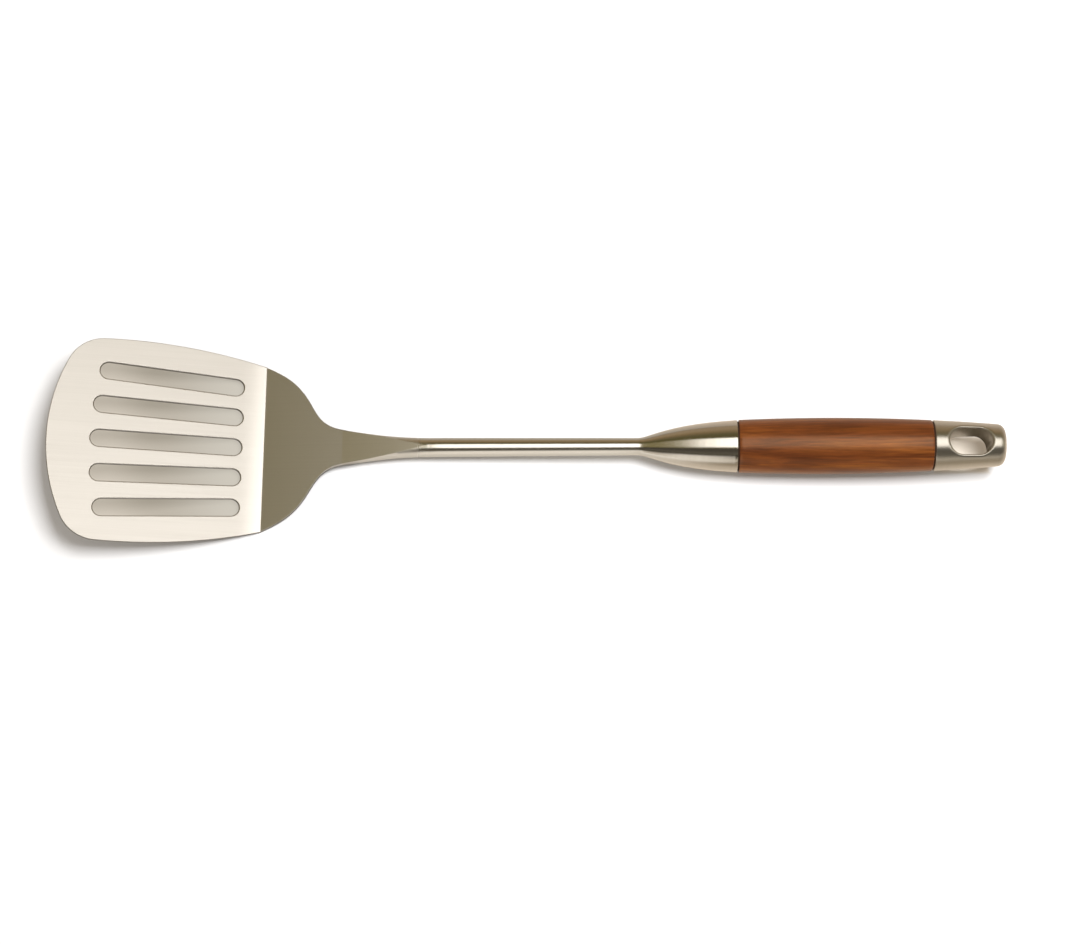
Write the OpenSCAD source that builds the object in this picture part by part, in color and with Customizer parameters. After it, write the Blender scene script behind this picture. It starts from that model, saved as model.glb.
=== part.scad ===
// Slotted spatula for a kitchen: a creased steel blade with five slots, a forged
// shaft, and a barrel-shaped wooden grip held between a steel ferrule and a steel
// tail cap. It lies as it does on a table, on the crease and on the front of the grip.
// All lengths are in millimetres and all angles in degrees.

/* [Blade] */
// Length of the slotted blade, from the crease to the middle of its front edge
blade_l = 79.2; // [74:0.1:88]
// Width of the blade at its widest place
blade_w = 76.4; // [72:0.1:82]
// Width of the sheet across the crease
crease_w = 63.3; // [58:0.1:68]
// Distance from the crease to the widest place
widest_at = 52; // [46:0.5:56]
// Radius of the bowed front edge
front_r = 70; // [62:1:100]
// Radius of the two rounded front corners
corner_r = 14.5; // [10:0.5:17]
// Thickness of the steel sheet
sheet_t = 1.5; // [1.2:0.1:2]
// Angle of the blade above the table, at rest
blade_tilt = 14.7; // [8:0.1:20]

/* [Slots] */
// Number of slots in the fan
slot_count = 5; // [1:2:5]
// Width of a slot
slot_w = 6.3; // [4.5:0.1:7.5]
// Length of the middle slot, end to end
slot_l = 55.1; // [40:0.1:56]
// Distance from the crease to the rear ends of the slots
slot_rear_gap = 8.4; // [6:0.1:14]
// Spacing of the slots at their front ends
slot_pitch_front = 12.9; // [11.5:0.1:13.2]
// Spacing of the slots at their rear ends
slot_pitch_rear = 11.5; // [10:0.1:12.5]
// Radius of the arc along which the front ends lie
slot_arc_r = 150; // [110:5:300]

/* [Shoulder] */
// Slope of the shoulder from the crease up to the shaft
shoulder_tilt = 6.6; // [6.5:0.1:9]
// Distance from the crease to the weld, along the shoulder
weld_at = 30; // [29:0.5:34]
// Width of the shoulder at the weld
waist_w = 13.7; // [12:0.1:17]
// Distance from the crease to the place where the shoulder's edge changes its bend
turn_at = 17.9; // [16:0.1:20]
// Width of the shoulder at that place
turn_w = 32.8; // [28:0.1:38]
// Angle of the shoulder's edge to the axis where it leaves the crease
edge_angle_crease = 24; // [15:1:30]
// Angle of the shoulder's edge to the axis where its bend changes
edge_angle_turn = 60.5; // [52:0.5:66]
// Angle of the shoulder's edge to the axis at the weld
edge_angle_weld = 10.5; // [7:0.5:14]

/* [Shaft] */
// Distance from the crease to the end of the forged neck, along its flat top
neck_end = 62; // [58:0.5:68]
// Diameter of the shaft at the neck
shaft_front_d = 7.2; // [6.8:0.1:8]
// Diameter of the shaft at the ferrule
shaft_rear_d = 6.5; // [6.2:0.1:7]
// Length of the shaft between the neck and the ferrule
shaft_l = 78; // [60:1:110]
// Diameter of the spigot that the shaft carries into the ferrule
spigot_d = 5.4; // [4.8:0.1:5.7]

/* [Ferrule] */
// Length of the ferrule
ferrule_l = 36; // [30:0.5:44]
// Diameter of the ferrule's front lip
lip_d = 6.6; // [6.3:0.1:7.2]
// Diameter of the ferrule where it meets the grip
ferrule_rear_d = 19.3; // [18:0.1:19.5]
// Wall of the ferrule
ferrule_wall = 1.4; // [1:0.1:1.8]
// Length of the plug in the ferrule's rear end
plug_l = 8; // [6:0.5:10]
// Diameter of the plug
plug_d = 15.4; // [14.5:0.1:15.8]

/* [Grip] */
// Length of the wooden grip
grip_l = 70.4; // [60:0.1:90]
// Diameter of the grip at its belly
belly_d = 20.7; // [19.8:0.1:23]
// Distance from the grip's front face to the belly
belly_at = 31; // [26:0.5:36]
// Radius of the lengthwise curve of the grip and the tail cap
barrel_r = 780; // [600:10:900]
// Thickness of each of the two spacers at the ends of the grip
spacer_t = 0.6; // [0.4:0.1:1.2]

/* [Tang] */
// Diameter of the threaded tang that clamps the grip
tang_d = 5; // [4:0.1:5.4]
// Depth to which the tang is screwed into the tail cap
tang_in_cap = 4.2; // [3.5:0.1:4.4]

/* [Tail cap] */
// Length of the tail cap
cap_l = 26; // [25:0.1:32]
// Radius of the rounding at the cap's rear end
cap_round = 3; // [1.5:0.1:4]
// Length of the oblong hanging hole
hang_l = 15.6; // [12:0.1:16.5]
// Width of the oblong hanging hole
hang_w = 9.8; // [7:0.1:10.5]
// Distance from the cap's front face to the hanging hole
hang_gap = 5.1; // [5:0.1:6.5]

/* [Fits] */
// Clearance around each fitted pin, plug and spigot
fit_gap = 0.05; // [0.03:0.01:0.1]
// Clearance around the tang in the wood
bore_gap = 0.2; // [0.1:0.05:0.4]
// Depth by which the spacers stand back from the surface
spacer_inset = 0.25; // [0.1:0.05:0.5]
// Bevel on the rims that meet a spacer
rim_bevel = 0.25; // [0.1:0.05:0.4]

/* [Hidden] */
$fn = 96;

// Overrun of every cut past the face that it leaves
cut_over = 1;

// Handles of the two curves that draw the shoulder's edge, as shares of its sizes:
// at the crease, before the turn, after the turn and before the weld
handle_crease_share = 0.55;
handle_before_turn_share = 0.51;
handle_after_turn_share = 0.4;
handle_weld_share = 0.35;
// Handles of the curve that draws the ferrule's outline, as shares of its length
// and of its swell
ferrule_front_share = 0.1;
ferrule_rear_share = [0.29, 0.79];
// Power of the neck's taper, from the weld to the round shaft
neck_taper_power = 1.9;
// Widths of the neck's flat top at the weld and at its end, as shares of the neck's width,
// and the powers by which it narrows between them
flat_front_share = 0.93;
flat_end_share = 0.03;
flat_run_power = 3.2;
flat_end_power = 1.5;
// Power by which the neck grows deeper towards the round shaft
deep_power = 0.6;
// Depth of the neck's widest line under its flat top, at the weld, as a share of the sheet
side_depth_share = 0.6;
// Squareness of the neck's underside at the weld, and that of a true ellipse
square_power = 4;
round_power = 2;
// Step from the forged neck up to the round shaft, and how far the shaft runs into the neck
neck_step = 0.05;
neck_overlap = 0.5;
// Depth of the spigot in the plug, as a share of the plug's length
spigot_in_plug_share = 0.5;
// Gap left under the end of the tang in the tail cap
tang_end_gap = 0.2;

// Numbers of steps in the curves and in the neck
arc_steps = 14;
curve_steps = 12;
neck_rings = 16;
corner_steps = 5;
belly_steps = 14;

// Places along the arm, from the end of the neck
ferrule_at = shaft_l;
plug_at = ferrule_at + ferrule_l - plug_l;
grip_at = ferrule_at + ferrule_l + spacer_t;
cap_at = grip_at + grip_l + spacer_t;

// Top of the neck's end, and the slope at which the arm then lies when the lengthwise
// curve of the grip touches the table
neck_r = shaft_front_d / 2;
neck_top = [neck_end * cos(shoulder_tilt) - sheet_t * sin(shoulder_tilt), 0,
            neck_end * sin(shoulder_tilt) + sheet_t * cos(shoulder_tilt)];
curve_centre = [grip_at + belly_at, barrel_r - belly_d / 2 - neck_r];
arm_tilt = atan2(curve_centre[0], curve_centre[1])
           - acos((barrel_r - neck_top[2]) / norm(curve_centre));
arm_start = neck_top - neck_r * [-sin(arm_tilt), 0, cos(arm_tilt)];

// Places of the pieces inside the arm
spigot_in_plug = plug_l * spigot_in_plug_share;
tang_at = plug_at + spigot_in_plug;
tang_l = cap_at + tang_in_cap - tang_at;

// The place of the origin: under the middle of the whole length
cap_end_r = barrel_radius(cap_at + cap_l - cap_round);
tail_x = arm_start[0] + (cap_at + cap_l - cap_round) * cos(arm_tilt)
         + (cap_end_r - cap_round) * sin(arm_tilt) + cap_round;
middle_x = (tail_x - blade_l * cos(blade_tilt)) / 2;

// Radius of the grip and the tail cap at a place along the arm
function barrel_radius(s) =
    belly_d / 2 - barrel_r + sqrt(pow(barrel_r, 2) - pow(s - grip_at - belly_at, 2));

// Point on a cubic curve with four control points
function curve(p, t) = pow(1 - t, 3) * p[0] + 3 * pow(1 - t, 2) * t * p[1]
                       + 3 * (1 - t) * pow(t, 2) * p[2] + pow(t, 3) * p[3];

// Points along an arc around a centre, after one angle and up to another
function arc(centre, r, from, to) = [for (i = [1 : arc_steps])
    let (a = from + (to - from) * i / arc_steps) centre + r * [cos(a), sin(a)]];

// Blend from one value to another
function blend(a, b, t) = a + (b - a) * t;

// The side arc, the front arc and the corner arc that touches both of them
side_sag = (blade_w - crease_w) / 2;
side_r = (pow(widest_at, 2) + pow(side_sag, 2)) / (2 * side_sag);
side_centre = [widest_at, blade_w / 2 - side_r];
front_centre = [blade_l - front_r, 0];
centre_line = front_centre - side_centre;
centre_gap = norm(centre_line);
corner_along = (pow(side_r - corner_r, 2) - pow(front_r - corner_r, 2)
               + pow(centre_gap, 2)) / (2 * centre_gap);
corner_across = sqrt(pow(side_r - corner_r, 2) - pow(corner_along, 2));
corner_centre = side_centre + corner_along * centre_line / centre_gap
                + corner_across * [-centre_line[1], centre_line[0]] / -centre_gap;
to_side = corner_centre - side_centre;
to_front = corner_centre - front_centre;
side_start = atan2(crease_w / 2 - side_centre[1], -side_centre[0]);
side_end = atan2(to_side[1], to_side[0]);
corner_end = atan2(to_front[1], to_front[0]);

// One half of the blade's edge, after the crease and up to the middle of the front
blade_edge = concat(arc(side_centre, side_r, side_start, side_end),
                    arc(corner_centre, corner_r, side_end, corner_end),
                    arc(front_centre, front_r, corner_end, 0));

// One half of the shoulder's edge, from the crease to the weld
crease_point = [0, crease_w / 2];
turn_point = [turn_at, turn_w / 2];
weld_point = [weld_at, waist_w / 2];
handle_crease = turn_at * handle_crease_share * [cos(edge_angle_crease), -sin(edge_angle_crease)];
handle_turn = [cos(edge_angle_turn), -sin(edge_angle_turn)] * turn_at;
handle_weld = turn_at * handle_weld_share * [cos(edge_angle_weld), -sin(edge_angle_weld)];
shoulder_edge = concat(
    [for (i = [0 : curve_steps])
        curve([crease_point, crease_point + handle_crease,
               turn_point - handle_turn * handle_before_turn_share, turn_point], i / curve_steps)],
    [for (i = [1 : curve_steps])
        curve([turn_point, turn_point + handle_turn * handle_after_turn_share,
               weld_point - handle_weld, weld_point], i / curve_steps)]);

// One half of the sheet's edge seen from above, from past the weld to the front
seen_edge = concat(
    [[weld_at * cos(shoulder_tilt) + cut_over, waist_w / 2]],
    [for (i = [len(shoulder_edge) - 1 : -1 : 0])
        [shoulder_edge[i][0] * cos(shoulder_tilt), shoulder_edge[i][1]]],
    [for (p = blade_edge) [-p[0] * cos(blade_tilt), p[1]]]);

// The whole sheet seen from above
module sheet_outline() {
    far_edge = [for (i = [len(seen_edge) - 1 : -1 : 0]) if (seen_edge[i][1] > 0)
        [seen_edge[i][0], -seen_edge[i][1]]];
    polygon(concat(seen_edge, far_edge));
}

// Moves from the crease to the frame of the whole object
module placed() {
    translate([-middle_x, 0, 0]) children();
}

// Moves a piece that is drawn upwards from zero to its place along the arm
module on_arm(s) {
    placed() translate(arm_start) rotate([0, 90 - arm_tilt, 0]) translate([0, 0, s]) children();
}

// Turns what is drawn on the flat, forwards from the crease, into the blade's plane
module on_blade() {
    rotate([0, blade_tilt, 0]) mirror([1, 0, 0]) children();
}

// Side view of the folded sheet: it ends square at the weld and runs past the front
module fold() {
    lean = (blade_tilt - shoulder_tilt) / 2;
    inside = sheet_t / cos((blade_tilt + shoulder_tilt) / 2) * [sin(lean), cos(lean)];
    front = (blade_l + cut_over) * [-cos(blade_tilt), sin(blade_tilt)];
    rear = weld_at * [cos(shoulder_tilt), sin(shoulder_tilt)];
    polygon([[0, 0], rear, rear + sheet_t * [-sin(shoulder_tilt), cos(shoulder_tilt)], inside,
             front + sheet_t * [sin(blade_tilt), cos(blade_tilt)], front]);
}

// One slot, with round ends, cut square through the sheet
module slot(i) {
    end_r = slot_w / 2;
    arc_drop = slot_arc_r - sqrt(pow(slot_arc_r, 2) - pow(i * slot_pitch_front, 2));
    rear = [slot_rear_gap + end_r, i * slot_pitch_rear];
    front = [slot_rear_gap + slot_l - end_r - arc_drop, i * slot_pitch_front];
    run = front - rear;
    translate([rear[0], rear[1], -cut_over]) rotate([0, 0, atan2(run[1], run[0])]) {
        cylinder(h = sheet_t + 2 * cut_over, r = end_r);
        translate([norm(run), 0, 0]) cylinder(h = sheet_t + 2 * cut_over, r = end_r);
        translate([0, -end_r, 0]) cube([norm(run), slot_w, sheet_t + 2 * cut_over]);
    }
}

// Stamped and creased sheet: the slotted blade and the shoulder behind it
module blade() {
    half = (slot_count - 1) / 2;
    height = blade_l * sin(blade_tilt) + 2 * (sheet_t + cut_over);
    color("#ece5d8") placed() difference() {
        intersection() {
            rotate([90, 0, 0]) linear_extrude(blade_w + 2 * cut_over, center = true) fold();
            translate([0, 0, -cut_over]) linear_extrude(height) sheet_outline();
        }
        on_blade() for (i = [-half : half]) slot(i);
    }
}

// Half-width of the neck at a share of the way from the weld to the round shaft
function neck_half_width(t) =
    neck_r - neck_step + (waist_w / 2 - neck_r + neck_step) * pow(1 - t, neck_taper_power);

// Superellipse quarter: cosine and sine raised so that a higher power is squarer
function quarter(a, power) = [pow(abs(cos(a)), 2 / power) * sign(cos(a)),
                              pow(abs(sin(a)), 2 / power)];

// Outline of the neck at a share of its length, across and up from its flat top: the
// flat meets each side arc at an edge, and the arc ends upright at the widest line
function neck_section(t) =
    let (w = neck_half_width(t),
         narrowing = pow(1 - pow(t, flat_run_power), flat_end_power),
         flat = w * max(flat_end_share, flat_front_share * narrowing),
         side = blend(sheet_t * side_depth_share, neck_r - neck_step, pow(t, deep_power)),
         deep = blend(sheet_t, 2 * (neck_r - neck_step), pow(t, deep_power)) - side,
         cut = 90 - 2 * atan((w - flat) / side),
         r = side / cos(cut),
         power = blend(square_power, round_power, t))
    concat(
        [for (i = [0 : corner_steps]) let (a = blend(cut, 90, i / corner_steps))
            [w - r * (1 - sin(a)), -side + r * cos(a)]],
        [for (i = [1 : belly_steps - 1]) let (q = quarter(180 * i / belly_steps, power))
            [w * q[0], -side - deep * q[1]]],
        [for (i = [0 : corner_steps]) let (a = blend(90, cut, i / corner_steps))
            [-w + r * (1 - sin(a)), -side + r * cos(a)]]);

// Points of one ring of the neck, in the frame of the crease
function neck_ring(t) =
    let (along = blend(weld_at, neck_end, t),
         turn = blend(shoulder_tilt, arm_tilt, t),
         top = [along * cos(shoulder_tilt) - sheet_t * sin(shoulder_tilt),
                along * sin(shoulder_tilt) + sheet_t * cos(shoulder_tilt)])
    [for (p = neck_section(t)) let (up = p[1] - neck_step * t)
        [top[0] - up * sin(turn), p[0], top[1] + up * cos(turn)]];

ring_size = len(neck_section(0));

// Forged neck: rings from the weld to the round shaft, joined by triangles
module neck() {
    points = [for (k = [0 : neck_rings]) each neck_ring(k / neck_rings)];
    sides = [for (k = [0 : neck_rings - 1]) for (j = [0 : ring_size - 1])
        let (a = k * ring_size + j, b = k * ring_size + (j + 1) % ring_size)
        each [[a, b, b + ring_size], [a, b + ring_size, a + ring_size]]];
    front = [for (j = [ring_size - 1 : -1 : 0]) j];
    rear = [for (j = [0 : ring_size - 1]) neck_rings * ring_size + j];
    polyhedron(points, concat([front], sides, [rear]));
}

// Forged bar: flat-topped neck, tapered round shaft and the spigot behind it
module shaft() {
    color("#c9c1b2") {
        placed() neck();
        on_arm(-neck_overlap)
            cylinder(h = shaft_l + neck_overlap, r1 = neck_r, r2 = shaft_rear_d / 2);
        on_arm(shaft_l - neck_overlap)
            cylinder(h = neck_overlap + ferrule_l - plug_l + spigot_in_plug, r = spigot_d / 2);
    }
}

// Outline of the ferrule: radius and place along it, at a share of the curve
function ferrule_point(t) =
    let (swell = (ferrule_rear_d - lip_d) / 2,
         p = curve([[0, 0], [ferrule_front_share, 0], ferrule_rear_share, [1, 1]], t))
    [lip_d / 2 + swell * p[1], ferrule_l * p[0]];

// Turned ferrule: a hollow flare from the shaft to the grip
module ferrule() {
    steps = 2 * curve_steps;
    rear_r = ferrule_rear_d / 2;
    bore_r = spigot_d / 2 + fit_gap;
    seat_r = plug_d / 2 + fit_gap;
    seat_at = ferrule_l - plug_l;
    outside = [for (i = [0 : steps - 1]) ferrule_point(i / steps)];
    rear_face = [[rear_r, ferrule_l - rim_bevel], [rear_r - rim_bevel, ferrule_l],
                 [seat_r, ferrule_l], [seat_r, seat_at]];
    inside = [for (i = [steps - 1 : -1 : 0])
        let (p = ferrule_point(i / steps), r = p[0] - ferrule_wall)
        if (p[1] < seat_at && r > bore_r) [min(r, seat_r), p[1]]];
    inside_end = inside[len(inside) - 1];
    color("#b9ae9e") on_arm(ferrule_at) rotate_extrude()
        polygon(concat(outside, rear_face, [[inside[0][0], seat_at]], inside,
                       [[bore_r, inside_end[1]], [bore_r, 0]]));
}

// Plug welded into the ferrule: the spigot enters its front, the tang its rear
module ferrule_plug() {
    color("#8f8a80") on_arm(plug_at) difference() {
        cylinder(h = plug_l, r = plug_d / 2);
        translate([0, 0, -cut_over])
            cylinder(h = spigot_in_plug + cut_over, r = spigot_d / 2 + fit_gap);
        translate([0, 0, spigot_in_plug - cut_over])
            cylinder(h = plug_l - spigot_in_plug + 2 * cut_over, r = tang_d / 2 + fit_gap);
    }
}

// Thin dark washer between the steel and the wood
module spacer(r) {
    color("#2a1d16") difference() {
        cylinder(h = spacer_t, r = r - spacer_inset);
        translate([0, 0, -cut_over])
            cylinder(h = spacer_t + 2 * cut_over, r = tang_d / 2 + bore_gap);
    }
}

module front_spacer() {
    on_arm(ferrule_at + ferrule_l) spacer(ferrule_rear_d / 2 - rim_bevel);
}

module rear_spacer() {
    on_arm(cap_at - spacer_t) spacer(barrel_radius(cap_at) - rim_bevel);
}

// Turned wooden barrel with a bore for the tang
module grip() {
    last = grip_l - rim_bevel;
    front_face_r = barrel_radius(grip_at) - rim_bevel;
    rear_face_r = barrel_radius(grip_at + grip_l) - rim_bevel;
    color("#7a4322") on_arm(grip_at) difference() {
        rotate_extrude() polygon(concat(
            [[0, 0], [front_face_r, 0]],
            [for (i = [0 : 2 * arc_steps])
                let (s = blend(rim_bevel, last, i / (2 * arc_steps)))
                [barrel_radius(grip_at + s), s]],
            [[rear_face_r, grip_l], [0, grip_l]]));
        translate([0, 0, -cut_over])
            cylinder(h = grip_l + 2 * cut_over, r = tang_d / 2 + bore_gap);
    }
}

// Threaded tang that pulls the tail cap and the grip against the ferrule
module tang() {
    color("#8f8a80") on_arm(tang_at) cylinder(h = tang_l, r = tang_d / 2);
}

// Oblong hanging hole, square to the arm, from below the cap to above it
module hanging_hole() {
    end_r = hang_w / 2;
    through = belly_d + 2 * cut_over;
    translate([-through / 2, 0, hang_gap + end_r]) rotate([0, 90, 0]) {
        cylinder(h = through, r = end_r);
        translate([-(hang_l - hang_w), 0, 0]) cylinder(h = through, r = end_r);
        translate([-(hang_l - hang_w), -end_r, 0]) cube([hang_l - hang_w, hang_w, through]);
    }
}

// Cast tail cap with the hanging hole and a threaded hole for the tang
module tail_cap() {
    round_at = cap_l - cap_round;
    color("#b9ae9e") on_arm(cap_at) difference() {
        rotate_extrude() polygon(concat(
            [[0, 0], [barrel_radius(cap_at) - rim_bevel, 0]],
            [for (i = [0 : arc_steps]) let (s = blend(rim_bevel, round_at, i / arc_steps))
                [barrel_radius(cap_at + s), s]],
            [for (i = [1 : corner_steps]) let (a = 90 * i / corner_steps)
                [cap_end_r - cap_round + cap_round * cos(a), round_at + cap_round * sin(a)]],
            [[0, cap_l]]));
        translate([0, 0, -cut_over])
            cylinder(h = tang_in_cap + tang_end_gap + cut_over, r = tang_d / 2 + fit_gap);
        hanging_hole();
    }
}

blade();
shaft();
ferrule();
ferrule_plug();
front_spacer();
grip();
tang();
rear_spacer();
tail_cap();
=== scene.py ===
import math

import bmesh
import bpy
import numpy as np
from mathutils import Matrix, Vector


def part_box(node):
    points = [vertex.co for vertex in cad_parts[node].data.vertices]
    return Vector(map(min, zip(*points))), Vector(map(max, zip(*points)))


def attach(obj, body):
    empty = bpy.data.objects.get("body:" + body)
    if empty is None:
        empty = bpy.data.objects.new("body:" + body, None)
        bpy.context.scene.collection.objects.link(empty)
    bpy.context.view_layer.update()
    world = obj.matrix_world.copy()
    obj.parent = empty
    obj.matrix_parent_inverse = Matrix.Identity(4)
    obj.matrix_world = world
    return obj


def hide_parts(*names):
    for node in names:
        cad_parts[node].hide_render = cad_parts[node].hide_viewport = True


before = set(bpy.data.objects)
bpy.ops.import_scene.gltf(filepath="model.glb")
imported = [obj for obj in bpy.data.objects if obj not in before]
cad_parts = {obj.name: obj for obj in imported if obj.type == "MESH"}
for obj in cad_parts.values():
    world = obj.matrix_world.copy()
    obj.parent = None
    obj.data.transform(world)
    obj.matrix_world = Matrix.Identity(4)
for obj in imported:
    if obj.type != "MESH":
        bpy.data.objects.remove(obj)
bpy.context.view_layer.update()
MM = 0.001

# Camera
# It stands over the table and a little towards the near side, so that the tool lies
# across the picture with its tail to the right.
view_target = Vector((4.72, -7.80, 0)) * MM
view_distance = 762 * MM
view_height_angle = math.radians(76)
view_turn = math.radians(0.38)
picture_sensor_mm = 36
picture_lens_mm = 68.3

camera_data = bpy.data.cameras.new("camera")
camera_data.sensor_fit = "HORIZONTAL"
camera_data.sensor_width = picture_sensor_mm
camera_data.lens = picture_lens_mm
camera = bpy.data.objects.new("camera", camera_data)
bpy.context.scene.collection.objects.link(camera)
away = Vector((math.sin(view_turn) * math.cos(view_height_angle),
               -math.cos(view_turn) * math.cos(view_height_angle),
               math.sin(view_height_angle)))
camera.location = view_target + view_distance * away
camera.rotation_euler = away.to_track_quat("Z", "Y").to_euler()
bpy.context.scene.camera = camera
bpy.context.scene.view_settings.view_transform = "Standard"


# Table
# A white table that runs out to a white surround. The camera sees painted shade on it under
# the slots, partly as a glow, and in the hanging hole. Reflections see it duller than the
# camera does, with painted light and shade by place, and light that bounces off it is weak
# and warm.
table_half = 4.0
table_colour = (0.72, 0.725, 0.74, 1)
table_bounce = (0.30, 0.265, 0.21, 1)
table_fade = (0.30, 0.80)
surround_white = (1, 1, 1, 1)

# What reflections see of it: colours by the place across it in millimetres, one set by the
# shaft and one by the handle, that paint its light and shade near the tool, and a painted shade
# beside the blade
mirrored_reach = 70 * MM
mirrored_by_shaft = ((-70, (0.66, 0.65, 0.61)), (-28, (0.56, 0.55, 0.515)),
                     (-16, (0.50, 0.49, 0.46)), (0, (0.48, 0.47, 0.44)),
                     (16, (0.34, 0.32, 0.28)), (70, (0.30, 0.28, 0.24)))
mirrored_by_handle = ((-70, (0.21, 0.18, 0.135)), (-45, (0.26, 0.225, 0.17)),
                      (-28, (0.37, 0.33, 0.27)), (-16, (0.46, 0.41, 0.345)),
                      (-8, (0.645, 0.575, 0.485)), (0, (0.75, 0.67, 0.56)),
                      (16, (0.50, 0.445, 0.375)), (30, (0.40, 0.355, 0.30)),
                      (70, (0.33, 0.29, 0.24)))
mirrored_change = (25 * MM, 75 * MM)
blade_shade_run = (-68 * MM, -60 * MM)
blade_shade_share = 0.35

# What the camera sees of it through the slots: a patch of painted shade, darker towards the
# crease, whose edge the blade hides in the main view, and over it a glow of painted shade that
# is darkest under the middle of the slots
painted_shade_front = (0.90, 0.83, 0.75, 1)
painted_shade_rear = (0.33, 0.305, 0.27, 1)
painted_shade_run = (-0.158, -0.110)
covered_middle = Vector((-0.136, 0.004, 0))
covered_half = Vector((0.034, 0.036, 1))
covered_soft = 6 * MM
covered_slant = Vector((0.217, 1, 0))
covered_slant_end = 7.4 * MM
shade_glow_front = (0.55, 0.50, 0.42, 1)
shade_glow_middle = (0.43, 0.39, 0.32, 1)
shade_glow_rear = (0.66, 0.62, 0.54, 1)
shade_glow_places = (-0.158, -0.140, -0.108)
shade_glow_share = 0.80

# Painted shade that the camera and reflections see of it in the hanging hole, and a painted
# lit spot there that reflections see
hole_middle = Vector((0.1616, 0, 0))
hole_half = Vector((0.011, 0.008, 1))
hole_soft = 2 * MM
hole_painted_shade = (0.70, 0.64, 0.56, 1)
hole_painted_shade_mirrored = (0.12, 0.10, 0.07, 1)
hole_lit_middle = Vector((0.1575, 0.006, 0))
hole_lit_half = Vector((0.0075, 0.005, 1))
hole_lit_soft = 1.5 * MM
hole_lit = (0.60, 0.54, 0.46, 1)


def new_node(tree, kind, inputs=None, **settings):
    """Adds a shader node, sets its options by name and its sockets by name or number."""
    node = tree.nodes.new(kind)
    for key, value in settings.items():
        setattr(node, key, value)
    for key, value in (inputs or {}).items():
        if isinstance(value, bpy.types.NodeSocket):
            tree.links.new(value, node.inputs[key])
        else:
            node.inputs[key].default_value = value
    return node


def new_material(name):
    """An empty node material: returns it, its node tree and its output node."""
    material = bpy.data.materials.new(name)
    material.use_nodes = True
    tree = material.node_tree
    tree.nodes.clear()
    return material, tree, tree.nodes.new("ShaderNodeOutputMaterial")


def object_place(tree):
    """The place in the object's own frame, as a vector and as its three parts."""
    place = new_node(tree, "ShaderNodeTexCoord").outputs["Object"]
    return place, new_node(tree, "ShaderNodeSeparateXYZ", {0: place}).outputs


def maths(tree, operation, first, second):
    """The number that a Math node gives."""
    return new_node(tree, "ShaderNodeMath", {0: first, 1: second}, operation=operation).outputs[0]


def vector_maths(tree, operation, vector, other=None):
    """What a Vector Math node gives. The other value is a factor for SCALE, else a vector."""
    inputs = {0: vector}
    if other is not None:
        inputs["Scale" if operation == "SCALE" else 1] = other
    node = new_node(tree, "ShaderNodeVectorMath", inputs, operation=operation)
    return node.outputs["Value" if operation in ("LENGTH", "DOT_PRODUCT") else "Vector"]


def change(tree, value, start, end, low=0.0, high=1.0, how="SMOOTHSTEP"):
    """A number that goes from low to high while the value goes from start to end: softly, as
    3 t^2 - 2 t^3, or evenly where how is LINEAR."""
    return new_node(tree, "ShaderNodeMapRange", {
        "Value": value, "From Min": start, "From Max": end, "To Min": low, "To Max": high},
        interpolation_type=how).outputs[0]


def mix_colours(tree, share, first, second):
    """A colour that goes from the first to the second as the share goes from 0 to 1."""
    return new_node(tree, "ShaderNodeMix", {"Factor": share, 6: first, 7: second},
                    data_type="RGBA").outputs[2]


def mix_shaders(tree, share, first, second):
    """A shader that goes from the first to the second as the share goes from 0 to 1."""
    return new_node(tree, "ShaderNodeMixShader", {0: share, 1: first, 2: second}).outputs[0]


def colour_ramp(tree, share, stops):
    """A colour by a share from 0 to 1, from stops that each have a share and a colour."""
    ramp = new_node(tree, "ShaderNodeValToRGB", {"Fac": share})
    elements = ramp.color_ramp.elements
    for at, colour in stops:
        stop = elements[0] if at <= 0 else elements[-1] if at >= 1 else elements.new(at)
        stop.color = (*colour, 1)
    return ramp.outputs[0]


def stage_plane(name, corners):
    """A flat four-cornered piece of the stage, which isn't part of the tool."""
    mesh = bpy.data.meshes.new(name)
    mesh.from_pydata(corners, [], [(0, 1, 2, 3)])
    plane = bpy.data.objects.new(name, mesh)
    bpy.context.scene.collection.objects.link(plane)
    return plane


table_top = stage_plane("table_top", [(x * table_half, y * table_half, 0)
                                      for x, y in ((-1, -1), (1, -1), (1, 1), (-1, 1))])
material, tree, output = new_material("white_table")
table_place, table_parts = object_place(tree)
along_table = table_parts["X"]
ray = new_node(tree, "ShaderNodeLightPath").outputs


def across_the_table(stops):
    """A colour by the place across the table, from stops in millimetres."""
    share = change(tree, table_parts["Y"], -mirrored_reach, mirrored_reach, how="LINEAR")
    return colour_ramp(tree, share, [(0.5 + y * MM / (2 * mirrored_reach), c) for y, c in stops])


def patch_share(middle, half, soft):
    """1 inside a rectangle of the table, and 0 outside it, with a soft change between: it
    follows the greater of the distances past the rectangle's sides."""
    aside = vector_maths(tree, "ABSOLUTE", vector_maths(tree, "SUBTRACT", table_place, middle))
    past = new_node(tree, "ShaderNodeSeparateXYZ",
                    {0: vector_maths(tree, "SUBTRACT", aside, half)}).outputs
    return change(tree, maths(tree, "MAXIMUM", past["X"], past["Y"]), 0, -soft)


before_slant = change(tree, vector_maths(tree, "DOT_PRODUCT", table_place, covered_slant),
                      covered_slant_end, covered_slant_end - covered_soft)
under_blade = maths(tree, "MULTIPLY", patch_share(covered_middle, covered_half, covered_soft),
                    before_slant)
under_hole = patch_share(hole_middle, hole_half, hole_soft)

mirrored = mix_colours(tree, change(tree, along_table, *mirrored_change),
                       across_the_table(mirrored_by_shaft), across_the_table(mirrored_by_handle))
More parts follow.
